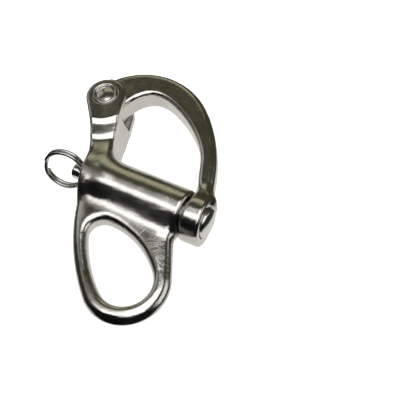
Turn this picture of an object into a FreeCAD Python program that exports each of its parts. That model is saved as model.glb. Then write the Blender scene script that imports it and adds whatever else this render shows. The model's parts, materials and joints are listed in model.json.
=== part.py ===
"""Fixed-eye snap shackle, 70 mm long, as six separate pieces.

The shackle lies flat: +Z is the normal of its plane, +Y runs along the load line from the fixed eye to
the bow, and +X points towards the arm's free end. Every piece is drawn in a design frame whose XY plane
is the shackle's mid plane, and is then moved by one shift, which puts the origin at the bottom centre
of the whole shackle. The barrel axis lies in the mid plane, at an angle to X.
"""

import FreeCAD, Part
import math
import os

import Sketcher

V = FreeCAD.Vector
Z_AXIS = V(0, 0, 1)

# alias: (value in mm or degrees, what it is)
DIMENSIONS = {
    "shift_x": (2.5, "design frame to part frame"),
    "shift_y": (-2.43, "design frame to part frame"),
    "shift_z": (6.0, "design frame to part frame: the barrel rests on Z = 0"),
    "axis_x": (2.3, "a point on the barrel axis"),
    "axis_y": (0.2, "a point on the barrel axis"),
    "axis_angle": (-24.5, "barrel axis, from +X"),
    "pivot_x": (-10.5, "arm pivot"),
    "pivot_y": (28.4, "arm pivot"),
    "barrel_radius": (6.0, "outside of the barrel"),
    "barrel_left": (-23.0, "ring end of the barrel before its slanted trim, along its axis"),
    "trim_low_x": (-15.65, "line of the barrel's slanted ring end"),
    "trim_low_y": (-0.5, "line of the barrel's slanted ring end"),
    "trim_high_x": (-11.6, "line of the barrel's slanted ring end"),
    "trim_high_y": (14.4, "line of the barrel's slanted ring end"),
    "barrel_right": (10.8, "arm end of the barrel, along its axis"),
    "barrel_round": (0.9, "rounding of the barrel's ends"),
    "bore_radius": (3.72, "plunger bore"),
    "bore_floor": (-14.4, "floor of the plunger bore, where the spring sits"),
    "stem_bore_radius": (2.03, "bore for the stem through the barrel's end wall"),
    "eye_thick": (6.4, "eye and web"),
    "eye_round": (1.6, "rounding of the eye's edges"),
    "eye_x": (-0.5, "centre of the eye's big end"),
    "eye_y": (-22.0, "centre of the eye's big end"),
    "eye_outer_radius": (10.6, "outside of the eye's big end"),
    "eye_flank_radius": (55.0, "outside of the eye's long flank"),
    "flank_top_x": (-14.5, "top of the eye's long flank, inside the barrel"),
    "flank_top_y": (3.5, "top of the eye's long flank, inside the barrel"),
    "hole_big_radius": (6.3, "eye hole, big end"),
    "hole_small_radius": (3.3, "eye hole, small end"),
    "hole_small_x": (-7.4, "centre of the eye hole's small end"),
    "hole_small_y": (-8.3, "centre of the eye hole's small end"),
    "hole_flank_radius": (34.0, "eye hole, long flank"),
    "hole_web_radius": (22.0, "eye hole, side next to the barrel"),
    "ear_radius": (5.0, "outline of each ear"),
    "ear_thick": (11.0, "across both ears"),
    "ear_round": (1.1, "rounding of the ears' edges"),
    "ear_foot_y": (20.2, "where the raised ears end on the neck"),
    "neck_x": (-10.2, "middle of the neck"),
    "neck_half": (2.9, "half width of the neck"),
    "neck_root_y": (8.5, "where the neck starts, inside the barrel"),
    "neck_thick": (8.6, "neck, front to back"),
    "neck_round": (1.6, "rounding of the neck's edges"),
    "slot_width": (6.2, "slot between the ears"),
    "slot_floor_y": (23.1, "bottom of the slot, from the rivet to the right"),
    "slot_fall": (1.6, "how far the slot's bottom falls away to the left, where the open arm rests"),
    "pin_radius": (2.0, "pivot rivet shank"),
    "pin_play": (0.07, "radial play of the arm on the rivet"),
    "head_radius": (3.3, "pivot rivet head"),
    "head_height": (0.45, "rivet head above the ear"),
    "sink_depth": (1.3, "countersink in each ear"),
    "arm_thick": (6.0, "bow arm, front to back"),
    "arm_round": (1.2, "rounding of the arm's edges"),
    "tongue_radius": (4.9, "arm's round root on the rivet"),
    "tongue_upper": (130.0, "direction from the rivet where the tongue runs into the bow's outer edge"),
    "tongue_lower": (-40.0, "direction from the rivet where the bow's inner edge runs into the tongue"),
    "boss_left": (11.4, "boss face next to the barrel"),
    "boss_right": (16.7, "boss outer face"),
    "boss_radius": (6.0, "outside of the boss"),
    "boss_left_round": (1.0, "rounding of the boss's edge next to the barrel"),
    "boss_right_round": (2.0, "rounding of the boss's outer edge"),
    "boss_bore_radius": (3.8, "hole in the boss for the plunger"),
    "plunger_radius": (3.65, "plunger"),
    "plunger_shoulder": (0.0, "back of the plunger's thick part"),
    "plunger_tip": (18.6, "tip of the plunger"),
    "tip_round": (2.6, "rounding of the plunger's tip"),
    "stem_radius": (1.95, "plunger stem"),
    "stem_end": (-20.9, "free end of the stem"),
    "stem_chamfer": (0.4, "chamfer at the stem's free end"),
    "ring_hole_at": (-18.3, "cross hole in the stem, along the axis"),
    "ring_hole_radius": (1.2, "cross hole in the stem"),
    "ring_radius": (5.2, "pull ring, to the middle of its wire"),
    "ring_wire_radius": (0.46, "pull ring wire"),
    "ring_pitch": (1.0, "from one turn of the ring to the next"),
    "ring_turns": (1.9, "turns of the ring"),
    "ring_sag": (0.2, "how far the ring's wire lies off the hole's middle"),
    "ring_tilt": (18.0, "cross hole, turned about the barrel axis from +Z"),
    "ring_swing": (11.0, "how far the ring has swung from the barrel axis"),
    "spring_radius": (2.82, "spring, to the middle of its wire"),
    "spring_wire_radius": (0.35, "spring wire"),
    "spring_turns": (6.5, "turns of the spring"),
    "spring_gap": (0.05, "spring end to its seat"),
}


# ---------------------------------------------------------------- document, sheet and values

def make_sheet(doc):
    """The spreadsheet of driving dimensions, one alias a row."""
    sheet = doc.addObject("Spreadsheet::Sheet", "dims")
    for row, (alias, (value, note)) in enumerate(DIMENSIONS.items(), start=1):
        sheet.set(f"A{row}", alias)
        sheet.set(f"B{row}", str(value))
        sheet.set(f"C{row}", note)
        sheet.setAlias(f"B{row}", alias)
    doc.recompute()
    return sheet


DOC = FreeCAD.newDocument("snap_shackle")
SHEET = make_sheet(DOC)


def dim(alias):
    """A driving dimension, read back from the sheet."""
    return float(SHEET.get(alias))


def value(text):
    """The number that an expression with @ before each alias stands for."""
    return float(SHEET.evalExpression(text.replace("@", "")))


def pivot():
    return V(dim("pivot_x"), dim("pivot_y"), 0)


def on_axis(along, aside=0.0):
    """A point of the mid plane given along and aside of the barrel axis."""
    angle = math.radians(dim("axis_angle"))
    x = dim("axis_x") + along * math.cos(angle) - aside * math.sin(angle)
    y = dim("axis_y") + along * math.sin(angle) + aside * math.cos(angle)
    return V(x, y, 0)


def bind(obj, **expressions):
    """Bind properties to expressions of the sheet's cells, written with @ before each alias."""
    for name, text in expressions.items():
        obj.setExpression(name, text.replace("@", "dims."))


# ---------------------------------------------------------------- placing

def place(obj):
    """Move a finished piece from the design frame to the part frame."""
    for name in "xyz":
        obj.setExpression(f"Placement.Base.{name}", f"dims.shift_{name}")


def new_body(label):
    body = DOC.addObject("PartDesign::Body", label)
    body.Label = label
    place(body)
    return body


def barrel_frame():
    """Turns a sketch in the XY plane so that its X axis is the barrel axis."""
    return FreeCAD.Placement(on_axis(0), FreeCAD.Rotation(Z_AXIS, dim("axis_angle")))


def new_sketch(body, name, role="XY_Plane", offset=None):
    sketch = body.newObject("Sketcher::SketchObject", name)
    plane = next(o for o in body.Origin.OriginFeatures if o.Role == role)
    sketch.AttachmentSupport = [(plane, "")]
    sketch.MapMode = "FlatFace"
    if offset is not None:
        sketch.AttachmentOffset = offset
    return sketch


# ---------------------------------------------------------------- drawing

def join_ends(sketch, first, count):
    """Coincident constraints round a closed chain of edges."""
    for k in range(count):
        here = first + k
        following = first + (k + 1) % count
        pairs = [(a, b) for a in (1, 2) for b in (1, 2)]
        near = min(pairs, key=lambda p: (sketch.getPoint(here, p[0]) - sketch.getPoint(following, p[1])).Length)
        sketch.addConstraint(Sketcher.Constraint("Coincident", here, near[0], following, near[1]))


def draw_polygon(sketch, corners):
    """A closed polygon. Each corner is a pair of expressions, and every coordinate is constrained."""
    points = [V(value(x), value(y), 0) for x, y in corners]
    first = sketch.GeometryCount
    for k, point in enumerate(points):
        sketch.addGeometry(Part.LineSegment(point, points[(k + 1) % len(points)]), False)
    join_ends(sketch, first, len(points))
    for k, (corner, point) in enumerate(zip(corners, points)):
        for kind, text, number in zip(("DistanceX", "DistanceY"), corner, point[:2]):
            if text == "0":
                axis = -2 if kind == "DistanceX" else -1
                sketch.addConstraint(Sketcher.Constraint("PointOnObject", first + k, 1, axis))
                continue
            index = sketch.addConstraint(Sketcher.Constraint(kind, -1, 1, first + k, 1, number))
            sketch.setExpression(f"Constraints[{index}]", text.replace("@", "dims."))


def draw_circle(sketch, centre, radius):
    index = sketch.addGeometry(Part.Circle(centre, Z_AXIS, value(radius)), False)
    for kind, number in (("DistanceX", centre.x), ("DistanceY", centre.y)):
        sketch.addConstraint(Sketcher.Constraint(kind, -1, 1, index, 3, number))
    limit = sketch.addConstraint(Sketcher.Constraint("Radius", index, value(radius)))
    sketch.setExpression(f"Constraints[{limit}]", radius.replace("@", "dims."))


def arc(centre, radius, start, end, clockwise=False):
    """The arc about a centre from one point's direction to another's."""
    a = math.atan2(start.y - centre.y, start.x - centre.x)
    b = math.atan2(end.y - centre.y, end.x - centre.x)
    if clockwise:
        a, b = b, a
    if b <= a:
        b += 2 * math.pi
    return Part.ArcOfCircle(Part.Circle(centre, Z_AXIS, radius), a, b)


def spline(points):
    curve = Part.BSplineCurve()
    curve.interpolate(points)
    return curve


def meet(c1, r1, c2, r2, left):
    """Where two circles cross, on the left or right of the way from c1 to c2."""
    way = c2 - c1
    gap = way.Length
    along = (gap * gap + r1 * r1 - r2 * r2) / (2 * gap)
    aside = math.sqrt(r1 * r1 - along * along)
    way.normalize()
    side = V(-way.y, way.x, 0) if left else V(way.y, -way.x, 0)
    return c1 + way * along + side * aside


def towards(start, end, length):
    way = end - start
    way.normalize()
    return start + way * length


# ---------------------------------------------------------------- features

def feature(body, kind, name, sketch, **expressions):
    new = body.newObject("PartDesign::" + kind, name)
    new.Profile = sketch
    bind(new, **expressions)
    return new


def pad(body, name, sketch, thick):
    new = feature(body, "Pad", name, sketch, Length=thick)
    new.Midplane = True
    DOC.recompute()
    return new


def cut_through(body, name, sketch, thick):
    """A pocket to both sides of the sketch, which must take material away."""
    before = body.Shape.Volume
    new = feature(body, "Pocket", name, sketch, Length=thick)
    new.Midplane = True
    DOC.recompute()
    assert body.Shape.Volume < before - 0.01, name + " cut nothing"
    return new


def turn(body, kind, name, sketch, axis="H_Axis"):
    """A full revolution or groove about an axis of its own sketch."""
    before = body.Shape.Volume if kind == "Groove" else None
    new = feature(body, kind, name, sketch)
    new.ReferenceAxis = (sketch, [axis])
    new.Angle = 360
    DOC.recompute()
    if before is not None:
        assert body.Shape.Volume < before - 0.01, name + " cut nothing"
    return new


def edges_where(shape, test):
    return [f"Edge{k}" for k, edge in enumerate(shape.Edges, start=1) if test(edge)]


def flat_at(*heights):
    """A test for edges that lie in one of the planes Z = height."""
    def test(edge):
        box = edge.BoundBox
        return any(abs(box.ZMin - z) < 1e-4 and abs(box.ZMax - z) < 1e-4 for z in heights)
    return test


def ring_at(along, radius):
    """A test for round edges about the barrel axis at one place along it."""
    def test(edge):
        curve = edge.Curve
        if not isinstance(curve, Part.Circle) or abs(curve.Radius - radius) > 1e-4:
            return False
        return (curve.Center - on_axis(along)).Length < 1e-3
    return test


def round_edges(body, name, base, test, size, kind="Fillet"):
    names = edges_where(base.Shape, test)
    assert names, name + " found no edge"
    new = body.newObject("PartDesign::" + kind, name)
    new.Base = (base, names)
    bind(new, **{"Radius" if kind == "Fillet" else "Size": size})
    DOC.recompute()
    return new


# ---------------------------------------------------------------- body casting

def draw_eye(sketch):
    """The eye and the web that joins it to the barrel, with the egg-shaped hole."""
    big, big_radius = V(dim("eye_x"), dim("eye_y"), 0), dim("eye_outer_radius")
    top_left = V(dim("flank_top_x"), dim("flank_top_y"), 0)
    top_right = on_axis(dim("barrel_right") - 2.2, -2.0)

    flank_radius = dim("eye_flank_radius")
    flank = meet(top_left, flank_radius, big, flank_radius - big_radius, left=True)
    left_touch = towards(flank, big, flank_radius)
    reach = (top_right - big).Length
    right_touch = meet(big, big_radius, top_right, math.sqrt(reach ** 2 - big_radius ** 2), left=False)

    edges = [
        arc(flank, flank_radius, top_left, left_touch),
        arc(big, big_radius, left_touch, right_touch),
        Part.LineSegment(right_touch, top_right),
        Part.LineSegment(top_right, top_left),
    ]
    sketch.addGeometry(edges, False)
    join_ends(sketch, 0, len(edges))

    small, small_radius = V(dim("hole_small_x"), dim("hole_small_y"), 0), dim("hole_small_radius")
    hole_radius = dim("hole_big_radius")
    left_radius, right_radius = dim("hole_flank_radius"), dim("hole_web_radius")
    left = meet(small, left_radius - small_radius, big, left_radius - hole_radius, left=True)
    right = meet(small, right_radius - small_radius, big, right_radius - hole_radius, left=False)
    corners = [
        towards(left, small, left_radius),
        towards(left, big, left_radius),
        towards(right, big, right_radius),
        towards(right, small, right_radius),
    ]
    hole = [
        arc(left, left_radius, corners[0], corners[1]),
        arc(big, hole_radius, corners[1], corners[2]),
        arc(right, right_radius, corners[2], corners[3]),
        arc(small, small_radius, corners[3], corners[0]),
    ]
    sketch.addGeometry(hole, False)
    join_ends(sketch, len(edges), len(hole))


def draw_barrel(sketch):
    draw_polygon(sketch, [
        ("@barrel_left", "0"),
        ("@barrel_right", "0"),
        ("@barrel_right", "@barrel_radius"),
        ("@barrel_left", "@barrel_radius"),
    ])


def trim_line():
    return V(dim("trim_low_x"), dim("trim_low_y"), 0), V(dim("trim_high_x"), dim("trim_high_y"), 0)


def draw_trim(sketch):
    """Everything to the left of the barrel's slanted ring end."""
    draw_polygon(sketch, [
        ("@trim_low_x", "@trim_low_y"),
        ("@trim_high_x", "@trim_high_y"),
        ("@trim_high_x - 2 * @barrel_radius", "@trim_high_y + @barrel_radius"),
        ("@trim_low_x - 2 * @barrel_radius", "@trim_low_y"),
    ])


def on_trim_line(edge):
    """A test for the edges of the barrel's slanted ring end."""
    low, high = trim_line()
    normal = (high - low).cross(Z_AXIS).normalize()
    return all(abs((edge.valueAt(t) - low).dot(normal)) < 1e-3 for t in edge.ParameterRange)


def draw_neck(sketch):
    """The neck's section, a rectangle with round corners, seen along Y with X and Z as its axes."""
    middle, half_x, half_z = dim("neck_x"), dim("neck_half"), dim("neck_thick") / 2
    size = dim("neck_round")
    edges = []
    for quarter in range(4):
        step = quarter * math.pi / 2
        x = half_x if quarter in (0, 3) else -half_x
        z = half_z if quarter in (0, 1) else -half_z
        centre = V(middle + x - math.copysign(size, x), z - math.copysign(size, z), 0)
        edges.append(Part.ArcOfCircle(Part.Circle(centre, Z_AXIS, size), step, step + math.pi / 2))
    sides = [Part.LineSegment(one.EndPoint, two.StartPoint)
             for one, two in zip(edges, edges[1:] + edges[:1])]
    chain = [edge for pair in zip(edges, sides) for edge in pair]
    sketch.addGeometry(chain, False)
    join_ends(sketch, 0, len(chain))


def draw_ear(sketch):
    """An ear's outline: round over the rivet, tapering to the neck."""
    centre, radius = pivot(), dim("ear_radius")
    foot_left = V(dim("neck_x") - dim("neck_half"), dim("ear_foot_y"), 0)
    foot_right = V(dim("neck_x") + dim("neck_half"), dim("ear_foot_y"), 0)
    reach = math.sqrt((foot_left - centre).Length ** 2 - radius ** 2)
    touch_left = meet(centre, radius, foot_left, reach, left=False)
    touch_right = meet(centre, radius, foot_right, reach, left=True)
    edges = [
        Part.LineSegment(foot_left, foot_right),
        Part.LineSegment(foot_right, touch_right),
        arc(centre, radius, touch_right, touch_left),
        Part.LineSegment(touch_left, foot_left),
    ]
    sketch.addGeometry(edges, False)
    join_ends(sketch, 0, len(edges))


def draw_slot(sketch):
    """The slot takes the ears' whole width and is open at the top."""
    draw_polygon(sketch, [
        ("@pivot_x - 2 * @ear_radius", "@slot_floor_y - @slot_fall"),
        ("@pivot_x", "@slot_floor_y"),
        ("@pivot_x + 2 * @ear_radius", "@slot_floor_y"),
        ("@pivot_x + 2 * @ear_radius", "@pivot_y + 2 * @ear_radius"),
        ("@pivot_x - 2 * @ear_radius", "@pivot_y + 2 * @ear_radius"),
    ])


def draw_bores(sketch):
    """Plunger bore from the arm end, and the stem's bore through the end wall."""
    draw_polygon(sketch, [
        ("@barrel_left - 1", "0"),
        ("@barrel_right + 1", "0"),
        ("@barrel_right + 1", "@bore_radius"),
        ("@bore_floor", "@bore_radius"),
        ("@bore_floor", "@stem_bore_radius"),
        ("@barrel_left - 1", "@stem_bore_radius"),
    ])


def make_body_casting():
    body = new_body("body_casting")

    sketch = new_sketch(body, "eye_sketch")
    draw_eye(sketch)
    eye = pad(body, "eye", sketch, "@eye_thick")
    half = dim("eye_thick") / 2
    round_edges(body, "eye_rounding", eye, flat_at(half, -half), "@eye_round")

    sketch = new_sketch(body, "barrel_sketch", offset=barrel_frame())
    draw_barrel(sketch)
    barrel = turn(body, "Revolution", "barrel", sketch)
    round_edges(body, "barrel_mouth_rounding", barrel,
                ring_at(dim("barrel_right"), dim("barrel_radius")), "@barrel_round")

    sketch = new_sketch(body, "trim_sketch")
    draw_trim(sketch)
    trimmed = cut_through(body, "barrel_trim", sketch, "2 * @barrel_radius + 2")
    round_edges(body, "barrel_end_rounding", trimmed, on_trim_line, "@barrel_round")

    top = FreeCAD.Placement(V(0, 0, -dim("slot_floor_y") - 1), FreeCAD.Rotation())
    sketch = new_sketch(body, "neck_sketch", role="XZ_Plane", offset=top)
    draw_neck(sketch)
    feature(body, "Pad", "neck", sketch, Length="@slot_floor_y + 1 - @neck_root_y")

    sketch = new_sketch(body, "ear_sketch")
    draw_ear(sketch)
    ears = pad(body, "ears", sketch, "@ear_thick")
    half = dim("ear_thick") / 2
    round_edges(body, "ear_rounding", ears, flat_at(half, -half), "@ear_round")

    sketch = new_sketch(body, "slot_sketch")
    draw_slot(sketch)
    cut_through(body, "slot", sketch, "@slot_width")

    sketch = new_sketch(body, "rivet_hole_sketch")
    draw_circle(sketch, pivot(), "@pin_radius")
    hole = cut_through(body, "rivet_hole", sketch, "@ear_thick + 2")

    def hole_mouth(edge):
        curve = edge.Curve
        outer = abs(abs(edge.BoundBox.ZMax) - half) < 1e-4
        return outer and isinstance(curve, Part.Circle) and abs(curve.Radius - dim("pin_radius")) < 1e-4

    round_edges(body, "rivet_countersinks", hole, hole_mouth, "@sink_depth", kind="Chamfer")

    sketch = new_sketch(body, "bore_sketch", offset=barrel_frame())
    draw_bores(sketch)
    turn(body, "Groove", "bores", sketch)
    return body


# ---------------------------------------------------------------- bow arm

# The bow's edges between the rivet and the boss, clockwise.
BOW_OUTER = [(-10.8, 34.9), (-3.5, 37.4), (4.8, 36.0), (12.6, 29.8), (17.2, 19.8), (18.7, 8.8), (18.0, -1.0)]
BOW_INNER = [(15.0, -0.6), (14.5, 4.6), (14.6, 10.6), (12.4, 18.2), (7.6, 25.8), (1.2, 30.2), (-3.4, 28.8)]


def draw_bow(sketch):
    """The bow and its round tongue, in one outline."""
    centre, radius = pivot(), dim("tongue_radius")
    upper = math.radians(dim("tongue_upper"))
    lower = math.radians(dim("tongue_lower"))
    top = centre + V(math.cos(upper), math.sin(upper), 0) * radius
    foot = centre + V(math.cos(lower), math.sin(lower), 0) * radius
    outer = [top] + [V(x, y, 0) for x, y in BOW_OUTER]
    inner = [V(x, y, 0) for x, y in BOW_INNER] + [foot]
    edges = [
        spline(outer),
        Part.LineSegment(outer[-1], inner[0]),
        spline(inner),
        arc(centre, radius, foot, top, clockwise=True),
    ]
    sketch.addGeometry(edges, False)
    join_ends(sketch, 0, len(edges))


def draw_boss(sketch):
    draw_polygon(sketch, [
        ("@boss_left", "0"),
        ("@boss_right", "0"),
        ("@boss_right", "@boss_radius"),
        ("@boss_left", "@boss_radius"),
    ])


def draw_boss_bore(sketch):
    draw_polygon(sketch, [
        ("@boss_left - 1", "0"),
        ("@boss_right + 1", "0"),
        ("@boss_right + 1", "@boss_bore_radius"),
        ("@boss_left - 1", "@boss_bore_radius"),
    ])


def make_bow_arm():
    body = new_body("bow_arm")

    sketch = new_sketch(body, "bow_sketch")
    draw_bow(sketch)
    bow = pad(body, "bow", sketch, "@arm_thick")
    half = dim("arm_thick") / 2
    flat = flat_at(half, -half)
    round_edges(body, "bow_rounding", bow, lambda e: flat(e) and not isinstance(e.Curve, Part.Line), "@arm_round")

    sketch = new_sketch(body, "boss_sketch", offset=barrel_frame())
    draw_boss(sketch)
    boss = turn(body, "Revolution", "boss", sketch)
    for side in ("boss_right", "boss_left"):
        boss = round_edges(body, side + "_rounding", boss, ring_at(dim(side), dim("boss_radius")), f"@{side}_round")

    sketch = new_sketch(body, "boss_bore_sketch", offset=barrel_frame())
    draw_boss_bore(sketch)
    turn(body, "Groove", "boss_bore", sketch)

    sketch = new_sketch(body, "pivot_hole_sketch")
    draw_circle(sketch, pivot(), "@pin_radius + @pin_play")
    cut_through(body, "pivot_hole", sketch, "@arm_thick + 2")
    return body


# ---------------------------------------------------------------- rivet, plunger, spring and ring

def make_pivot_rivet():
    """Shank, with a countersunk head formed at both ends."""
    body = new_body("pivot_rivet")
    upright = FreeCAD.Placement(V(dim("pivot_x"), 0, -dim("pivot_y")), FreeCAD.Rotation())
    sketch = new_sketch(body, "rivet_sketch", role="XZ_Plane", offset=upright)
    top, sink = "@ear_thick / 2", "@ear_thick / 2 - @sink_depth"
    draw_polygon(sketch, [
        ("0", f"-1 * ({top} + @head_height)"),
        ("@head_radius - @head_height", f"-1 * ({top} + @head_height)"),
        ("@head_radius", f"-1 * ({top})"),
        ("@pin_radius", f"-1 * ({sink})"),
        ("@pin_radius", sink),
        ("@head_radius", top),
        ("@head_radius - @head_height", f"{top} + @head_height"),
        ("0", f"{top} + @head_height"),
    ])
    turn(body, "Revolution", "rivet", sketch, axis="V_Axis")
    return body


def ring_directions():
    """Out of the barrel's ring end, and along the cross hole."""
    outward = on_axis(0) - on_axis(1)
    return outward, FreeCAD.Rotation(outward, dim("ring_tilt")).multVec(Z_AXIS)


def make_plunger():
    body = new_body("plunger")
    sketch = new_sketch(body, "plunger_sketch", offset=barrel_frame())
    draw_polygon(sketch, [
        ("@stem_end", "0"),
        ("@plunger_tip", "0"),
        ("@plunger_tip", "@plunger_radius"),
        ("@plunger_shoulder", "@plunger_radius"),
        ("@plunger_shoulder", "@stem_radius"),
        ("@stem_end", "@stem_radius"),
    ])
    pin = turn(body, "Revolution", "pin_and_stem", sketch)
    pin = round_edges(body, "tip_rounding", pin,
                      ring_at(dim("plunger_tip"), dim("plunger_radius")), "@tip_round")
    round_edges(body, "stem_chamfer_edge", pin,
                ring_at(dim("stem_end"), dim("stem_radius")), "@stem_chamfer", kind="Chamfer")

    upright = FreeCAD.Rotation(Z_AXIS, ring_directions()[1])
    sketch = new_sketch(body, "cross_hole_sketch", offset=FreeCAD.Placement(on_axis(dim("ring_hole_at")), upright))
    draw_circle(sketch, V(0, 0, 0), "@ring_hole_radius")
    cut_through(body, "cross_hole", sketch, "2 * @stem_radius + 2")
    return body


def coil(label, height, turns, radius, wire, placement):
    """A round wire swept along a helix about its own Z axis, then put in place."""
    helix = DOC.addObject("Part::Helix", label + "_path")
    bind(helix, Pitch=f"({height}) / ({turns})", Height=height, Radius=radius)
    helix.Placement = placement
    section = DOC.addObject("Part::Circle", label + "_section")
    bind(section, Radius=wire)
    DOC.recompute()
    start = helix.Shape.Edges[0]
    tangent = start.tangentAt(start.FirstParameter)
    section.Placement = FreeCAD.Placement(start.valueAt(start.FirstParameter), FreeCAD.Rotation(Z_AXIS, tangent))
    sweep = DOC.addObject("Part::Sweep", label)
    sweep.Sections = [section]
    sweep.Spine = (helix, ["Edge1"])
    sweep.Solid = True
    sweep.Frenet = True
    sweep.Label = label
    place(sweep)
    return sweep


def make_plunger_spring():
    """Sits round the stem, from the bore's floor to the plunger's shoulder."""
    start = dim("bore_floor") + dim("spring_gap") + dim("spring_wire_radius")
    along = FreeCAD.Rotation(Z_AXIS, on_axis(1) - on_axis(0))
    length = "@plunger_shoulder - @bore_floor - 2 * @spring_gap - 2 * @spring_wire_radius"
    return coil("plunger_spring", length, "@spring_turns", "@spring_radius", "@spring_wire_radius",
                FreeCAD.Placement(on_axis(start), along))


def make_pull_ring():
    """Two turns of wire through the stem's cross hole."""
    out_of_barrel, hole = ring_directions()
    outward = FreeCAD.Rotation(hole, dim("ring_swing")).multVec(out_of_barrel)
    across = outward.cross(hole)
    centre = on_axis(dim("ring_hole_at")) + outward * (dim("ring_radius") - dim("ring_sag"))
    base = centre - across * (dim("ring_pitch") * dim("ring_turns") / 2)
    return coil("pull_ring", "@ring_pitch * @ring_turns", "@ring_turns", "@ring_radius", "@ring_wire_radius",
                FreeCAD.Placement(base, FreeCAD.Rotation(outward, hole, across, "ZXY")))


# ---------------------------------------------------------------- check and write

def check(pieces):
    """Every object is sound, every piece is one solid, and the origin is at the bottom centre."""
    DOC.recompute()
    for obj in DOC.Objects:
        bad = [state for state in obj.State if state in ("Invalid", "Error")]
        assert not bad, f"{obj.Name}: {bad}"
    whole = FreeCAD.BoundBox()
    for piece in pieces:
        shape = piece.Shape
        assert not shape.isNull() and shape.isValid(), piece.Label
        assert len(shape.Solids) == 1, f"{piece.Label} has {len(shape.Solids)} solids"
        whole.add(shape.optimalBoundingBox())
        print(f"{piece.Label}: {shape.Volume:.1f} mm3")
    print("box", whole)
    assert max(abs(whole.Center.x), abs(whole.Center.y), abs(whole.ZMin)) < 0.05, "origin"


def write(pieces):
    os.makedirs("parts", exist_ok=True)
    for piece in pieces:
        piece.Shape.exportStep(f"parts/{piece.Label}.step")


PIECES = [
    make_body_casting(),
    make_bow_arm(),
    make_pivot_rivet(),
    make_plunger(),
    make_plunger_spring(),
    make_pull_ring(),
]
check(PIECES)
write(PIECES)
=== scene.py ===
"""Fixed-eye snap shackle of polished cast stainless steel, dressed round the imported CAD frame.

The two castings are smooth blended solids. Each is written as a distance function in the design frame of
the CAD (millimetres, mid plane z = 0) and meshed here; the rivet, spring and pull ring are swept or turned.
"""

import json
import math

import bpy
import numpy as np
from mathutils import Matrix, Vector


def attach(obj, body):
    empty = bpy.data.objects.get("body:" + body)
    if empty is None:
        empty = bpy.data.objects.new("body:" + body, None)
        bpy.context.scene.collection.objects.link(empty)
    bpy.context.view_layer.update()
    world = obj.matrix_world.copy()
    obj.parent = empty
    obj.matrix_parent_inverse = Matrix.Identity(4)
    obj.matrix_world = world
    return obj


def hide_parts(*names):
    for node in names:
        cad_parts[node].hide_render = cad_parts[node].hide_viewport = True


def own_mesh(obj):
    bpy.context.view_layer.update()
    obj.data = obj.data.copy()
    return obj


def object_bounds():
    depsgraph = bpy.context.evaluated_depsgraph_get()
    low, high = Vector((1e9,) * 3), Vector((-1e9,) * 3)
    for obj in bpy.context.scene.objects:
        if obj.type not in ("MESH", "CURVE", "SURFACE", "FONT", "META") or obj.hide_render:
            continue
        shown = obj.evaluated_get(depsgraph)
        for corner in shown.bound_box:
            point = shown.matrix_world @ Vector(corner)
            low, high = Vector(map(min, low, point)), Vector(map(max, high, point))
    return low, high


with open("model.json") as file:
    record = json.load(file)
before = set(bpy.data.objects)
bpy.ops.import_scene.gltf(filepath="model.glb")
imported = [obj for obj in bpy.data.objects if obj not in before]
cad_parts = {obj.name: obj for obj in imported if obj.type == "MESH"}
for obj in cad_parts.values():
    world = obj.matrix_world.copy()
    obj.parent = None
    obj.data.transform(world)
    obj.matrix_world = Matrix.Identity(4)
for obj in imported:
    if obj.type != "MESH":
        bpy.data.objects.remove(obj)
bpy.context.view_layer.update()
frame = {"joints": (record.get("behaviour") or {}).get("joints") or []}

MM = 0.001
JOINTS = {joint["name"]: joint for joint in frame["joints"]}

# ---------------------------------------------------------------- the CAD's places, in millimetres

PIVOT = np.array([-10.5, 28.4])                 # the rivet in the design frame
PIVOT_PART = np.array(JOINTS["arm_pivot"]["pos_m"]) / MM
SHIFT = PIVOT_PART - np.array([*PIVOT, 0.0])     # design frame to part frame
HOLE_AT = -18.3                                  # the stem's cross hole, along the barrel axis
HOLE = np.array(JOINTS["ring_swing"]["pos_m"]) / MM - SHIFT
AXIS = -np.array(JOINTS["plunger_slide"]["axis"])
AXIS /= np.linalg.norm(AXIS)
ASIDE = np.array([-AXIS[1], AXIS[0], 0.0])

BARREL_RADIUS = 6.0
BARREL_RIGHT = 10.8
TRIM_LOW, TRIM_HIGH = np.array([-15.65, -0.5]), np.array([-11.6, 14.4])
BORE_RADIUS, BORE_FLOOR, STEM_BORE_RADIUS = 3.72, -14.4, 2.03
BOSS_LEFT, BOSS_RIGHT, BOSS_RADIUS, BOSS_BORE = 11.4, 16.1, 6.0, 3.8
EAR_HALF, SLOT_HALF, ARM_HALF = 5.5, 3.1, 3.0
PIN_RADIUS = 2.0
EAR_RADIUS = 5.0
WEB_TOP, WEB_UNDER, WEB_CHANGE, WEB_EDGE = 2.45, 2.3, 0.5, 1.7      # the eye, from the mid plane
CROWN, CROWN_REACH, HOLE_EDGE = 0.055, 4, 2.0
STEP_HEIGHTS = [15.3, 16.3, 16.6, 19.3, 20.6]                        # the two steps across the neck
STEP_HALVES = [4.0, 4.48, 4.55, 4.85, EAR_HALF]
END_RADIUS, STEM_RADIUS, CROSS_HOLE_RADIUS = 3.65, 1.95, 1.2         # the plunger
DOME_CENTRE, DOME_RADIUS = 1.2, 16.0
RING_RADIUS, RING_WIRE, RING_SWING, RING_SAG = 5.2, 0.46, math.radians(11), 0.2
SPRING_RADIUS, SPRING_WIRE, SPRING_TURNS, SPRING_KEEP = 2.82, 0.35, 6.5, 0.44
SWEPT_END = [(0.001, 0.12), (0.7, 0.1), (1.0, 0.0)]      # share of the wire's radius, and how far out


def on_axis(along, aside=0.0):
    """A point given along and aside of the barrel axis."""
    return HOLE + AXIS * (along - HOLE_AT) + ASIDE * aside


def along_aside(x, y):
    dx, dy = x - on_axis(0)[0], y - on_axis(0)[1]
    return dx * AXIS[0] + dy * AXIS[1], dx * ASIDE[0] + dy * ASIDE[1]


# ---------------------------------------------------------------- combining distances

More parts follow.
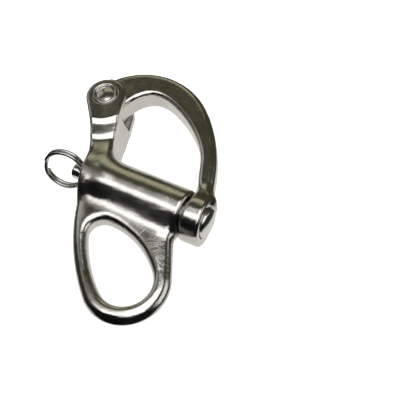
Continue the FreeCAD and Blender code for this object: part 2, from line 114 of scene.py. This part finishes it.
def both(a, b, radius):
    """Inside both, with the edge between them rounded to the radius."""
    a, b = a + radius, b + radius
    return np.minimum(np.maximum(a, b), 0) + np.hypot(np.maximum(a, 0), np.maximum(b, 0)) - radius


def either(a, b, width):
    """Inside either, with a smooth blend between them."""
    share = np.clip(0.5 + 0.5 * (b - a) / width, 0, 1)
    return b + (a - b) * share - width * share * (1 - share)


def ramp(value, start, end):
    """0 before start, 1 after end, smooth between."""
    t = np.clip((value - start) / (end - start), 0, 1)
    return t * t * (3 - 2 * t)


# ---------------------------------------------------------------- outlines in the mid plane

def arc(centre, radius, start, end, clockwise=False):
    """Points of the arc about a centre, from one point's direction to another's."""
    centre, start, end = (np.asarray(p, float)[:2] for p in (centre, start, end))
    a = math.atan2(*(start - centre)[::-1])
    b = math.atan2(*(end - centre)[::-1])
    if clockwise:
        b -= 2 * math.pi * (b >= a)
    else:
        b += 2 * math.pi * (b <= a)
    count = max(3, int(abs(b - a) * max(radius / 0.3, 40)))
    angles = np.linspace(a, b, count)
    return centre + radius * np.stack([np.cos(angles), np.sin(angles)], 1)


def spline(points, count=240):
    """A natural cubic through the points, spaced by the chords between them."""
    points = np.asarray(points, float)
    n = len(points)
    t = np.concatenate([[0], np.cumsum(np.linalg.norm(np.diff(points, axis=0), axis=1))])
    h = np.diff(t)
    system, right = np.eye(n), np.zeros((n, 2))
    for k in range(1, n - 1):
        system[k, k - 1:k + 2] = h[k - 1], 2 * (h[k - 1] + h[k]), h[k]
        right[k] = 6 * ((points[k + 1] - points[k]) / h[k] - (points[k] - points[k - 1]) / h[k - 1])
    bend = np.linalg.solve(system, right)
    at = np.linspace(0, t[-1], count)
    k = np.clip(np.searchsorted(t, at, side="right") - 1, 0, n - 2)
    left, ahead, span = (at - t[k])[:, None], (t[k + 1] - at)[:, None], h[k][:, None]
    return (bend[k] * ahead ** 3 + bend[k + 1] * left ** 3) / (6 * span) \
        + (points[k] / span - bend[k] * span / 6) * ahead \
        + (points[k + 1] / span - bend[k + 1] * span / 6) * left


def meet(c1, r1, c2, r2, left):
    """Where two circles cross, on the left or right of the way from c1 to c2."""
    way = c2 - c1
    gap = np.linalg.norm(way)
    along = (gap * gap + r1 * r1 - r2 * r2) / (2 * gap)
    aside = math.sqrt(r1 * r1 - along * along) * (1 if left else -1)
    way = way / gap
    return c1 + way * along + np.array([-way[1], way[0]]) * aside


def towards(start, end, length):
    return start + (end - start) / np.linalg.norm(end - start) * length


def distance_to(points, x, y, closed=True):
    """Distance to a line of points, and whether each place is inside it when it is closed."""
    ends = np.roll(points, -1, axis=0) if closed else points[1:]
    starts = points if closed else points[:-1]
    best = np.full(x.shape, np.inf)
    inside = np.zeros(x.shape, bool)
    for (ax, ay), (bx, by) in zip(starts, ends):
        ex, ey = bx - ax, by - ay
        wx, wy = x - ax, y - ay
        t = np.clip((wx * ex + wy * ey) / max(ex * ex + ey * ey, 1e-12), 0, 1)
        best = np.minimum(best, (wx - ex * t) ** 2 + (wy - ey * t) ** 2)
        if closed and ay != by:
            crosses = (ay > y) != (by > y)
            inside ^= crosses & (x < (bx - ax) * (y - ay) / (by - ay) + ax)
    return np.sqrt(best), inside


class Field:
    """Values kept on a fine grid of the mid plane and read back with smooth cubic weights."""

    def __init__(self, low, high, make, step=0.2):
        self.low, self.step = np.asarray(low, float), step
        count = (np.ceil((np.asarray(high) - self.low) / step) + 1).astype(int)
        x = self.low[0] + step * np.arange(count[0])[:, None]
        y = self.low[1] + step * np.arange(count[1])[None, :]
        self.values = make(*np.broadcast_arrays(x, y))

    def __call__(self, x, y):
        shape = np.broadcast(x, y).shape
        u = np.broadcast_to((x - self.low[0]) / self.step, shape)
        v = np.broadcast_to((y - self.low[1]) / self.step, shape)
        nx, ny = self.values.shape
        i = np.clip(np.floor(u).astype(int), 1, nx - 3)
        j = np.clip(np.floor(v).astype(int), 1, ny - 3)
        wu, wv = self.weights(u - i), self.weights(v - j)
        total = np.zeros(shape)
        for a in range(4):
            row = sum(wv[b] * self.values[i + a - 1, j + b - 1] for b in range(4))
            total += wu[a] * row
        return total

    @staticmethod
    def weights(t):
        """Cubic B-spline weights, which give a smooth slope."""
        return ((1 - t) ** 3 / 6, (3 * t ** 3 - 6 * t ** 2 + 4) / 6,
                (-3 * t ** 3 + 3 * t ** 2 + 3 * t + 1) / 6, t ** 3 / 6)


def signed(points):
    def make(x, y):
        distance, inside = distance_to(points, x, y)
        return np.where(inside, -distance, distance)
    return make


def eye_outline():
    big, radius, flank_radius = np.array([-0.5, -22.0]), 10.6, 55.0
    top_left, top_right = np.array([-14.5, 3.5]), on_axis(BARREL_RIGHT - 2.2, -2.0)[:2]
    flank = meet(top_left, flank_radius, big, flank_radius - radius, left=True)
    left_touch = towards(flank, big, flank_radius)
    reach = np.linalg.norm(top_right - big)
    right_touch = meet(big, radius, top_right, math.sqrt(reach ** 2 - radius ** 2), left=False)
    return np.concatenate([arc(flank, flank_radius, top_left, left_touch),
                           arc(big, radius, left_touch, right_touch), [top_right]])


def hole_outline():
    big, small = np.array([-0.5, -22.0]), np.array([-7.5, -9.8])
    big_radius, small_radius, left_radius, right_radius = 6.3, 3.3, 34.0, 22.0
    left = meet(small, left_radius - small_radius, big, left_radius - big_radius, left=True)
    right = meet(small, right_radius - small_radius, big, right_radius - big_radius, left=False)
    corners = [towards(left, small, left_radius), towards(left, big, left_radius),
               towards(right, big, right_radius), towards(right, small, right_radius)]
    return np.concatenate([arc(left, left_radius, corners[0], corners[1]),
                           arc(big, big_radius, corners[1], corners[2]),
                           arc(right, right_radius, corners[2], corners[3]),
                           arc(small, small_radius, corners[3], corners[0])])


TONGUE_RADIUS, TONGUE_UPPER, TONGUE_LOWER = 4.9, math.radians(130), math.radians(-40)
TONGUE_TOP = PIVOT + TONGUE_RADIUS * np.array([math.cos(TONGUE_UPPER), math.sin(TONGUE_UPPER)])
TONGUE_FOOT = PIVOT + TONGUE_RADIUS * np.array([math.cos(TONGUE_LOWER), math.sin(TONGUE_LOWER)])
BOW_OUTER = spline([TONGUE_TOP, (-10.8, 34.9), (-3.5, 37.4), (4.8, 36.0), (12.6, 29.8),
                    (17.2, 19.8), (18.7, 8.8), (18.0, -1.0)])
BOW_INNER = spline([(15.0, -0.6), (14.5, 4.6), (14.6, 10.6), (12.4, 18.2), (7.6, 25.8),
                    (1.2, 30.2), (-3.4, 28.8), TONGUE_FOOT])


def nearer_inside(x, y):
    """0 on the outer half of the bow's width, 1 on the inner half."""
    outer = distance_to(BOW_OUTER, x, y, closed=False)[0]
    inner = distance_to(BOW_INNER, x, y, closed=False)[0]
    return ramp(outer - inner, -1.0, 1.0)


eye_field = Field((-20, -38), (18, 16), signed(eye_outline()))
hole_field = Field((-20, -38), (18, 16), signed(hole_outline()))
arm_field = Field((-18, -10), (24, 40), signed(np.concatenate(
    [BOW_OUTER, BOW_INNER, arc(PIVOT, TONGUE_RADIUS, TONGUE_FOOT, TONGUE_TOP, clockwise=True)])))
inner_side = Field((-18, -10), (24, 40), nearer_inside)


# ---------------------------------------------------------------- the two castings as distances

def taper(x, y, top, top_radius, foot, foot_radius):
    """A round top and a round foot joined by straight flanks."""
    way = np.asarray(foot) - np.asarray(top)
    length = np.linalg.norm(way)
    way = way / length
    dx, dy = x - top[0], y - top[1]
    down, out = dx * way[0] + dy * way[1], np.abs(dx * way[1] - dy * way[0])
    lean = (top_radius - foot_radius) / length
    slope = math.sqrt(1 - lean * lean)
    at = out * -lean + down * slope
    flank = out * slope + down * lean - top_radius
    return np.where(at < 0, np.hypot(out, down) - top_radius,
                    np.where(at > length * slope, np.hypot(out, down - length) - foot_radius, flank))


def web(x, y, z):
    """The flat eye, thinner towards its edges."""
    crown = CROWN * (CROWN_REACH - np.clip(-eye_field(x, y), 0, CROWN_REACH)) ** 2
    top = WEB_TOP - WEB_CHANGE * np.clip((-6 - y) / 14, 0, 1) - crown
    under = WEB_UNDER + WEB_CHANGE * ramp(-y, 9, 20) - crown
    return both(eye_field(x, y), np.maximum(z - top, -under - z), WEB_EDGE)


def fork(x, y, z):
    """Both ears and the neck below them, with two steps across it, before the slot is cut."""
    below_pin = PIVOT[1] - np.hypot(x - PIVOT[0], y - PIVOT[1])
    half = np.interp(below_pin, STEP_HEIGHTS, STEP_HALVES)
    half = np.where(y > PIVOT[1], EAR_HALF, half)
    neck = both(both(np.abs(x + 10.2) - 2.9, y - 21.0, 1.0), 2.0 - y, 0.5)
    front = taper(x, y, PIVOT, EAR_RADIUS, (-10.3, 16.0), 1.9)
    deeper = 1 - ramp(z, -4.5, 2.5)
    back = taper(x - 0.9 * deeper, y + 0.5 * deeper, PIVOT, EAR_RADIUS, (-10.2, 9.5), 2.6)
    outline = either(either(front, neck, 1.2), np.maximum(back, -9.5 - x), 0.8)
    return both(outline, np.abs(z) - half, 1.5 - 0.8 * ramp(y, 12.0, 15.5))


def cut_away(x, y, z, along, radial):
    """What is cut from the body casting: the slot, the rivet's bore and the stepped bore of the barrel."""
    slot_floor = 23.1 - 0.16 * np.maximum(PIVOT[0] - x, 0)
    slot = np.maximum(np.abs(z) - SLOT_HALF, slot_floor - y)
    rivet_bore = np.hypot(x - PIVOT[0], y - PIVOT[1])
    sunk = rivet_bore - PIN_RADIUS - np.maximum(np.abs(z) - EAR_HALF + 1.3, 0)
    bore = np.maximum(radial - BORE_RADIUS, BORE_FLOOR - along)
    return (slot, 0.6), (sunk, 0.1), (np.minimum(bore, radial - STEM_BORE_RADIUS), 0.35)


def body_casting(x, y, z):
    along, aside = along_aside(x, y)
    radial = np.hypot(aside, z)
    lean = (TRIM_HIGH - TRIM_LOW) / np.linalg.norm(TRIM_HIGH - TRIM_LOW)
    beyond = (y - TRIM_LOW[1]) * lean[0] - (x - TRIM_LOW[0]) * lean[1]
    barrel = both(both(radial - BARREL_RADIUS, along - BARREL_RIGHT, 0.9), beyond, 0.9)
    solid = either(barrel, web(x, y, z), 3.4)
    solid = both(solid, either(beyond, -13.1 - x, 1.0), 0.9)

    flare = 2.8 + 1.5 * ramp(x, -12.0, -8.0)
    solid = either(solid, fork(x, y, z), flare + (0.8 - flare) * ramp(y, 14.0, 19.0))
    ring_side = -12.9 - x - 6 * ramp(y, 10.5, 14.5)
    solid = both(solid, either(beyond, ring_side, 0.6), 0.35)
    solid = both(solid, -hole_field(x, y), HOLE_EDGE)
    for removed, edge in cut_away(x, y, z, along, radial):
        solid = both(solid, -removed, edge)
    return solid


def bow_arm(x, y, z):
    along, aside = along_aside(x, y)
    radial = np.hypot(aside, z)
    edge = 1.7 - 0.5 * inner_side(x, y)
    arm = both(arm_field(x, y), np.abs(z) - ARM_HALF, edge)
    slant = math.radians(6)
    beyond = (along - BOSS_RIGHT) * math.cos(slant) + aside * math.sin(slant)
    boss = both(both(radial - BOSS_RADIUS, beyond, 0.7), BOSS_LEFT - along, 0.9)
    arm = either(arm, boss, 3.5)
    arm = both(arm, -(radial - BOSS_BORE), 0.4)
    pin = np.hypot(x - PIVOT[0], y - PIVOT[1]) - PIN_RADIUS - 0.07
    return both(arm, -pin, 0.3)


def plunger_pin(x, y, z):
    """The locking pin: a thick end with a shallow dome, and a thinner stem with a cross hole."""
    along, aside = along_aside(x, y)
    radial = np.hypot(aside, z)
    dome = np.hypot(along - DOME_CENTRE, radial) - DOME_RADIUS
    thick = both(radial - END_RADIUS, np.maximum(-along, dome), 0.3)
    stem = both(both(radial - STEM_RADIUS, along - 3.0, 0.3), -20.9 - along, 0.35)
    hole = np.array(JOINTS["ring_swing"]["axis"])
    away = np.stack(np.broadcast_arrays(x - HOLE[0], y - HOLE[1], z - HOLE[2]))
    reach = np.tensordot(hole, away, 1)
    bored = np.sqrt(np.maximum((away ** 2).sum(0) - reach ** 2, 0)) - CROSS_HOLE_RADIUS
    return both(np.minimum(thick, stem), -bored, 0.15)


# ---------------------------------------------------------------- meshing a distance

def surface(distance, low, high, step):
    """Corners and four-sided faces of the surface where the distance is zero."""
    axes = [np.arange(a, b + step, step) for a, b in zip(low, high)]
    values = distance(axes[0][:, None, None], axes[1][None, :, None], axes[2][None, None, :])
    inside = values < 0
    size = np.array(values.shape) - 1
    corners = [(a, b, c) for a in (0, 1) for b in (0, 1) for c in (0, 1)]
    views = [inside[a:a + size[0], b:b + size[1], c:c + size[2]] for a, b, c in corners]
    filled = sum(view.astype(np.int8) for view in views)
    cells = np.argwhere((filled > 0) & (filled < 8))
    number = np.full(size, -1, np.int64)
    number[tuple(cells.T)] = np.arange(len(cells))

    total, count = np.zeros((len(cells), 3)), np.zeros(len(cells))
    for one in corners:
        for axis in range(3):
            if one[axis]:
                continue
            two = tuple(v + (k == axis) for k, v in enumerate(one))
            a, b = (values[tuple((cells + np.array(c)).T)] for c in (one, two))
            cut = (a < 0) != (b < 0)
            share = a[cut] / (a[cut] - b[cut])
            total[cut] += np.array(one) + share[:, None] * np.eye(3)[axis]
            count[cut] += 1
    points = np.array(low) + step * (cells + total / count[:, None])

    faces = []
    for axis in range(3):
        other = [k for k in range(3) if k != axis]
        here = np.take(inside, range(size[axis]), axis)
        ahead = np.take(inside, range(1, size[axis] + 1), axis)
        edges = np.argwhere(here != ahead)
        edges = edges[np.all((edges[:, other] > 0) & (edges[:, other] < size[other]), axis=1)]
        outward = here[tuple(edges.T)] ^ (axis == 1)
        ring = []
        for da, db in ((1, 1), (0, 1), (0, 0), (1, 0)):
            cell = edges.copy()
            cell[:, other[0]] -= da
            cell[:, other[1]] -= db
            ring.append(number[tuple(cell.T)])
        ring = np.stack(ring, 1)
        ring[~outward] = ring[~outward, ::-1]
        faces.append(ring)
    return points, np.concatenate(faces)


def slope(distance, points, reach=0.04):
    parts = []
    for axis in range(3):
        move = np.eye(3)[axis] * reach
        parts.append(distance(*(points + move).T) - distance(*(points - move).T))
    found = np.stack(parts, 1)
    return found / np.maximum(np.linalg.norm(found, axis=1, keepdims=True), 1e-9)


def settle(distance, points, step, rounds=3):
    """Moves corners onto the surface, by no more than half a step at a time."""
    for _ in range(rounds):
        off = np.clip(distance(*points.T), -step / 2, step / 2)
        points = points - slope(distance, points) * off[:, None]
    return points


def add_mesh(name, points, faces):
    """A smooth object from points in the design frame, in millimetres."""
    mesh = bpy.data.meshes.new(name)
    mesh.from_pydata(((np.asarray(points) + SHIFT) * MM).tolist(), [], [list(map(int, f)) for f in faces])
    mesh.validate()
    mesh.polygons.foreach_set("use_smooth", [True] * len(mesh.polygons))
    mesh.update()
    obj = bpy.data.objects.new(name, mesh)
    bpy.context.scene.collection.objects.link(obj)
    return obj


def cast(name, distance, low, high, step=0.26):
    points, faces = surface(distance, low, high, step)
    return add_mesh(name, settle(distance, points, step), faces)


# ---------------------------------------------------------------- turned and swept pieces

def turned(name, profile, base, up, sides=96):
    """A closed profile of (radius, height) pairs turned about an axis."""
    up = np.asarray(up, float) / np.linalg.norm(up)
    one = np.cross(up, [1.0, 0.3, 0.2])
    one /= np.linalg.norm(one)
    two = np.cross(up, one)
    points, rows = [], []
    for radius, height in profile:
        if radius < 1e-6:
            rows.append([len(points)] * sides)
            points.append(base + up * height)
            continue
        rows.append(list(range(len(points), len(points) + sides)))
        for k in range(sides):
            angle = 2 * math.pi * k / sides
            points.append(base + up * height + radius * (one * math.cos(angle) + two * math.sin(angle)))
    faces = []
    for lower, upper in zip(rows, rows[1:]):
        for k in range(sides):
            quad = [lower[k], lower[(k + 1) % sides], upper[(k + 1) % sides], upper[k]]
            faces.append(list(dict.fromkeys(quad)))
    return add_mesh(name, points, faces)


def swept(name, path, radius, sides):
    """Round wire along a line of points, with slightly rounded ends."""
    path = np.asarray(path, float)
    tangent = np.gradient(path, axis=0)
    tangent /= np.linalg.norm(tangent, axis=1, keepdims=True)
    side = np.cross(tangent[0], [0.2, 0.3, 0.9])
    angles = np.linspace(0, 2 * math.pi, sides, endpoint=False)
    rings = []
    for k, (point, forward) in enumerate(zip(path, tangent)):
        side = side - forward * side.dot(forward)
        side /= np.linalg.norm(side)
        other = np.cross(forward, side)
        if k == 0:
            places = [(share, -out) for share, out in SWEPT_END]
        elif k == len(path) - 1:
            places = SWEPT_END[::-1]
        else:
            places = [(1.0, 0.0)]
        for share, out in places:
            rings.append(point + forward * out + radius * share
                         * (np.outer(np.cos(angles), side) + np.outer(np.sin(angles), other)))
    count = len(rings)
    faces = [[k * sides + a, k * sides + (a + 1) % sides,
              (k + 1) * sides + (a + 1) % sides, (k + 1) * sides + a]
             for k in range(count - 1) for a in range(sides)]
    faces.append(list(range(sides))[::-1])
    faces.append(list(range((count - 1) * sides, count * sides)))
    return add_mesh(name, np.concatenate(rings), faces)


def rivet_profile():
    """From the lower dome to the upper, each with a raised lip, a dish and a small dome inside."""
    dome = [(r, 5.62 - r * r / 15) for r in np.linspace(0, 2.25, 14)]
    lip = [(2.78 - 0.32 * math.cos(a), 5.45 + 0.3 * math.sin(a)) for a in np.linspace(-0.3, math.pi, 14)]
    head = dome + lip + [(3.1, 5.40), (PIN_RADIUS, 4.2)]
    return [(r, -z) for r, z in head] + [(r, z) for r, z in head[::-1]]


def spring_path():
    start, end = BORE_FLOOR + 0.4, -0.4
    angles = np.linspace(0, 2 * math.pi * SPRING_TURNS, 400)
    share = angles / angles[-1]
    up = np.array([0.0, 0.0, 1.0])
    return [on_axis(start + (end - start) * s)
            + SPRING_RADIUS * (ASIDE * math.cos(a) + up * math.sin(a)) for s, a in zip(share, angles)]


def ring_path():
    """Two flat turns side by side, with a short step from one to the other opposite the stem."""
    hole = np.array(JOINTS["ring_swing"]["axis"])
    hole /= np.linalg.norm(hole)
    outward = np.array(Matrix.Rotation(RING_SWING, 3, Vector(hole)) @ Vector(-AXIS))
    across = np.cross(outward, hole)
    centre = HOLE + outward * (RING_RADIUS - RING_SAG)
    angles = np.linspace(math.radians(20), math.radians(700), 360)
    step = ramp(angles, math.radians(335), math.radians(385)) * 2 - 1
    return [centre + RING_RADIUS * (outward * math.cos(a) + hole * math.sin(a)) + across * s * 0.5
            for a, s in zip(angles, step)]


# ---------------------------------------------------------------- materials

STAIN_DARK, STAIN_PALE = 0.096, 0.06             # how far the stains go below and above the colour


def steel(name, colour, roughness, grain, bump):
    """Polished stainless: uneven gloss, fine casting grain, slight waviness and faint stains."""
    material = bpy.data.materials.new(name)
    material.use_nodes = True
    nodes, links = material.node_tree.nodes, material.node_tree.links
    shader = nodes["Principled BSDF"]
    shader.inputs["Metallic"].default_value = 1.0
    place = nodes.new("ShaderNodeTexCoord")

    def noise(scale, detail, rough=0.55):
        node = nodes.new("ShaderNodeTexNoise")
        node.inputs["Scale"].default_value = scale
        node.inputs["Detail"].default_value = detail
        node.inputs["Roughness"].default_value = rough
        links.new(place.outputs["Object"], node.inputs["Vector"])
        return node

    def spread(node, low, high, start=0.3, end=0.7):
        mapped = nodes.new("ShaderNodeMapRange")
        for key, value in (("From Min", start), ("From Max", end), ("To Min", low), ("To Max", high)):
            mapped.inputs[key].default_value = value
        links.new(node.outputs["Fac"], mapped.inputs["Value"])
        return mapped

    stains, grains, waves = noise(160, 4), noise(grain, 3, 0.6), noise(260, 2)
    mix = nodes.new("ShaderNodeMix")
    mix.data_type = "RGBA"
    mix.inputs["A"].default_value = (*[c * (1 - STAIN_DARK) for c in colour], 1)
    mix.inputs["B"].default_value = (*[min(1.0, c * (1 + STAIN_PALE)) for c in colour], 1)
    links.new(spread(stains, 0, 1).outputs["Result"], mix.inputs["Factor"])
    links.new(mix.outputs["Result"], shader.inputs["Base Color"])

    gloss = nodes.new("ShaderNodeMath")
    gloss.operation = "ADD"
    links.new(spread(stains, roughness * 0.75, roughness * 1.3).outputs["Result"], gloss.inputs[0])
    links.new(spread(grains, -0.02, 0.03).outputs["Result"], gloss.inputs[1])
    links.new(gloss.outputs["Value"], shader.inputs["Roughness"])

    height = nodes.new("ShaderNodeMath")
    height.operation = "MULTIPLY_ADD"
    height.inputs[1].default_value = 0.35
    links.new(grains.outputs["Fac"], height.inputs[0])
    links.new(waves.outputs["Fac"], height.inputs[2])
    raised = nodes.new("ShaderNodeBump")
    raised.inputs["Strength"].default_value = 1.0
    raised.inputs["Distance"].default_value = bump
    links.new(height.outputs["Value"], raised.inputs["Height"])
    links.new(raised.outputs["Normal"], shader.inputs["Normal"])
    return material


def dress(obj, material):
    obj.data.materials.clear()
    obj.data.materials.append(material)


CAST = steel("cast_steel", (0.66, 0.64, 0.60), 0.16, 2600, 0.00009)
RIVET = steel("rivet_steel", (0.68, 0.665, 0.63), 0.16, 3200, 0.00004)
TURNED = steel("plunger_steel", (0.72, 0.71, 0.68), 0.14, 4200, 0.00002)
SPRING = steel("spring_steel", (0.60, 0.60, 0.59), 0.22, 4200, 0.00002)
WIRE = steel("ring_steel", (0.57, 0.57, 0.56), 0.2, 4200, 0.00001)

# ---------------------------------------------------------------- pieces

body = cast("body_casting_skin", body_casting, (-17.5, -34.0, -7.0), (15.0, 35.0, 7.0))
arm = cast("bow_arm_skin", bow_arm, (-17.0, -12.0, -7.0), (23.0, 39.0, 7.0))
rivet = turned("pivot_rivet_skin", rivet_profile(), np.array([*PIVOT, 0.0]), (0, 0, 1))
spring = swept("plunger_spring_skin", spring_path(), SPRING_WIRE, 12)
plunger = cast("plunger_skin", plunger_pin, (-20.0, -12.0, -4.5), (22.0, 11.0, 4.5), 0.2)
ring = swept("pull_ring_skin", ring_path(), RING_WIRE, 20)

for piece, material, cad_body, node, slot in (
        (body, CAST, "body", "body_casting", "body_steel"),
        (arm, CAST, "arm", "bow_arm", "arm_steel"),
        (rivet, RIVET, "body", "pivot_rivet", "rivet_steel"),
        (plunger, TURNED, "plunger", "plunger", "plunger_steel"),
        (spring, SPRING, "body", "plunger_spring", "spring_steel"),
        (ring, WIRE, "ring", "pull_ring", "ring_steel")):
    dress(piece, material)
    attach(piece, cad_body)
    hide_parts(node)

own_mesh(spring)

# ---------------------------------------------------------------- floor, light and camera

LIGHT_DISTANCE = 0.7                             # metres


def sheet(name, half, drop, colour, glow):
    """A level square at the floor, its middle under the shackle: the evenly bright floor itself, or the
    grey sheet of painted shade a hair below it.
    """
    mesh = bpy.data.meshes.new(name)
    mesh.from_pydata([(-half[0], -half[1], 0), (half[0], -half[1], 0), (half[0], half[1], 0),
                      (-half[0], half[1], 0)], [], [(0, 1, 2, 3)])
    obj = bpy.data.objects.new(name, mesh)
    bpy.context.scene.collection.objects.link(obj)
    obj.location.z = ground - drop
    material = bpy.data.materials.new(name)
    material.use_nodes = True
    shader = material.node_tree.nodes["Principled BSDF"]
    shader.inputs["Base Color"].default_value = (*colour, 1)
    shader.inputs["Roughness"].default_value = 0.8
    shader.inputs["Emission Color"].default_value = (1, 1, 1, 1)
    shader.inputs["Emission Strength"].default_value = glow
    obj.data.materials.append(material)
    return obj


def panel(name, size, brightness, colour):
    """A soft rectangular light whose face has the given brightness."""
    light = bpy.data.lights.new(name, "AREA")
    light.shape = "RECTANGLE"
    light.size, light.size_y = size
    light.energy = brightness * math.pi * size[0] * size[1]
    light.color = colour
    obj = bpy.data.objects.new(name, light)
    bpy.context.scene.collection.objects.link(obj)
    return obj


def area(name, azimuth, elevation, size, brightness, colour=(1, 1, 1)):
    """A panel facing the shackle. Azimuth 0 is in front, 90 is to the right."""
    obj = panel(name, size, brightness, colour)
    a, e = math.radians(azimuth), math.radians(elevation)
    away = Vector((math.sin(a) * math.cos(e), -math.cos(a) * math.cos(e), math.sin(e)))
    obj.location = away * LIGHT_DISTANCE
    obj.rotation_euler = away.to_track_quat("Z", "Y").to_euler()


def overhead(name, across, along, brightness):
    """A level panel above the shackle, from one place to another each way."""
    obj = panel(name, (across[1] - across[0], along[1] - along[0]), brightness, (1, 1, 1))
    obj.location = (sum(across) / 2, sum(along) / 2, LIGHT_DISTANCE)
    return obj


def room():
    """Dim surroundings: dull olive behind the shackle, nearly black in front of it."""
    world = bpy.data.worlds.new("room")
    bpy.context.scene.world = world
    world.use_nodes = True
    nodes, links = world.node_tree.nodes, world.node_tree.links
    place, split = nodes.new("ShaderNodeTexCoord"), nodes.new("ShaderNodeSeparateXYZ")
    links.new(place.outputs["Generated"], split.inputs["Vector"])
    behind = nodes.new("ShaderNodeMapRange")
    behind.inputs["From Min"].default_value = -0.3
    behind.inputs["From Max"].default_value = 0.5
    links.new(split.outputs["Y"], behind.inputs["Value"])
    mix = nodes.new("ShaderNodeMix")
    mix.data_type = "RGBA"
    mix.inputs["A"].default_value = (0.006, 0.006, 0.007, 1)
    mix.inputs["B"].default_value = (0.056, 0.054, 0.034, 1)
    links.new(behind.outputs["Result"], mix.inputs["Factor"])
    links.new(mix.outputs["Result"], nodes["Background"].inputs["Color"])


def camera():
    """The photograph's view: from in front and above, rolled, with the shackle left of the middle."""
    a, e, roll = (math.radians(v) for v in (14, 57, 12))
    distance, focal, aside = 216.0, 900.0, 55.0
    back = np.array([math.sin(a) * math.cos(e), -math.cos(a) * math.cos(e), math.sin(e)])
    level = np.array([math.cos(a), math.sin(a), 0])
    rise = np.cross(back, level)
    right = level * math.cos(roll) - rise * math.sin(roll)
    up = level * math.sin(roll) + rise * math.cos(roll)
    target = np.array([1.73, 0.0, 0.0]) + SHIFT
    place = (target + back * distance + right * distance * aside / focal) * MM
    data = bpy.data.cameras.new("camera")
    data.sensor_width = 36
    data.lens = focal / 400 * 36
    data.clip_start, data.clip_end = 0.01, 20
    obj = bpy.data.objects.new("camera", data)
    bpy.context.scene.collection.objects.link(obj)
    obj.matrix_world = Matrix([[right[k], up[k], back[k], place[k]] for k in range(3)] + [[0, 0, 0, 1]])
    bpy.context.scene.camera = obj


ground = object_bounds()[0][2]
floor = sheet("floor", (3.0, 3.0), 0.0, (0.9, 0.9, 0.9), 0.8)
floor.visible_glossy = False
floor.visible_shadow = False
# painted shade: this small grey, faintly glowing sheet lies just under the floor and is seen only in
# reflections. It stands in for the shaded floor round the shackle, so undersides and inner walls reflect
# grey instead of white.
painted_shade_card = sheet("painted_shade_card", (0.026, 0.039), 0.0002, (0.6, 0.59, 0.56), 0.2)
painted_shade_card.visible_camera = False
painted_shade_card.visible_diffuse = False
room()
overhead("overhead_main", (-0.14, 0.44), (-0.58, 0.26), 1.8)
overhead("overhead_left", (-0.52, -0.14), (-0.26, 0.02), 1.9)
overhead("overhead_mid", (-0.52, -0.14), (0.02, 0.14), 0.5)
overhead("overhead_dim", (-0.52, -0.14), (0.14, 0.27), 0.25)
area("right", 88, 17, (0.6, 0.42), 1.0)
area("left_back", -132, 30, (0.45, 0.4), 0.42)
area("left", -88, 46, (0.3, 0.2), 0.2, (1.0, 0.97, 0.85))
area("back", 183, 29, (0.34, 0.3), 0.44, (1.0, 0.94, 0.68))
fill = overhead("fill", (-0.8, 0.8), (-0.8, 0.8), 0.45)
fill.visible_glossy = False
bpy.context.scene.view_settings.view_transform = "Standard"
camera()
